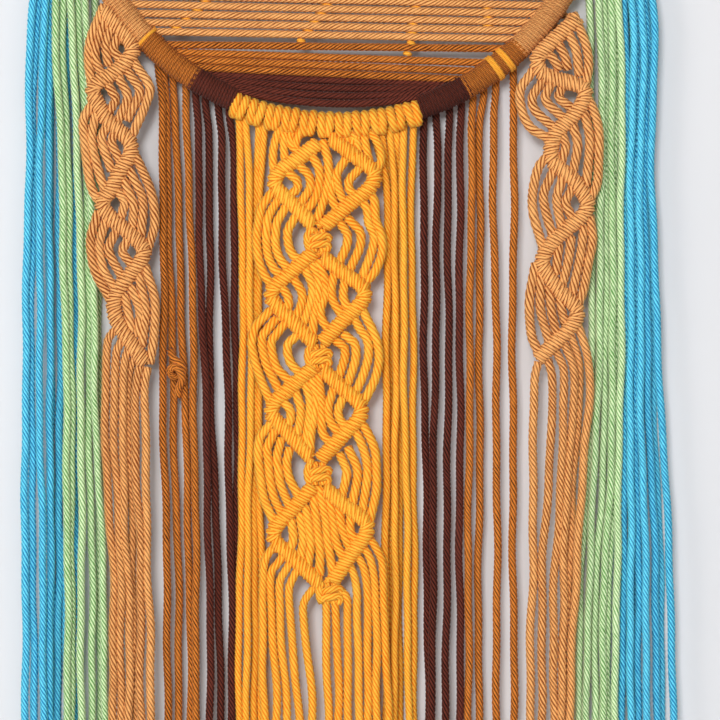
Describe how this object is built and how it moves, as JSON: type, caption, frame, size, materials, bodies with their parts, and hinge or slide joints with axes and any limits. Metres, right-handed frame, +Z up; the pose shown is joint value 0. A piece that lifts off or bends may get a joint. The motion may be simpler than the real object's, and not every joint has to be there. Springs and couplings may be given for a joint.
{
  "type": "macrame wall hanging on a hoop",
  "caption": "Hoop bound in bands of coloured cotton cord, crossed by cord rows, with knotted diamond and zigzag panels and a long hanging fringe below.",
  "frame": {"origin": "where a hook or nail holds the hoop, under the wire at its top", "axes": "+Z up along the hang, front faces -Y, +X to the right as seen from the front"},
  "size_m": [0.3097, 0.0199, 0.7074],
  "materials": {
    "ring": "bare wire, satin",
    "dark_brown": "twisted cotton cord",
    "rust": "twisted cotton cord",
    "tan": "twisted cotton cord",
    "green": "twisted cotton cord",
    "blue": "twisted cotton cord",
    "orange": "twisted cotton cord"
  },
  "bodies": {
    "root": {"ring": "ring", "winding_dark_brown": "dark_brown", "winding_rust": "rust", "winding_tan": "tan", "winding_green": "green", "winding_blue": "blue", "panel_orange": "orange", "panel_tan_left": "tan", "panel_tan_right": "tan", "cords_orange_left": "orange", "cords_orange_right": "orange", "cords_dark_left": "dark_brown", "cords_dark_right": "dark_brown", "cords_rust_left": "rust", "cords_rust_right": "rust", "cords_green_left": "green", "cords_green_right": "green", "cords_blue_left": "blue", "cords_blue_right": "blue"}
  },
  "joints": []
}
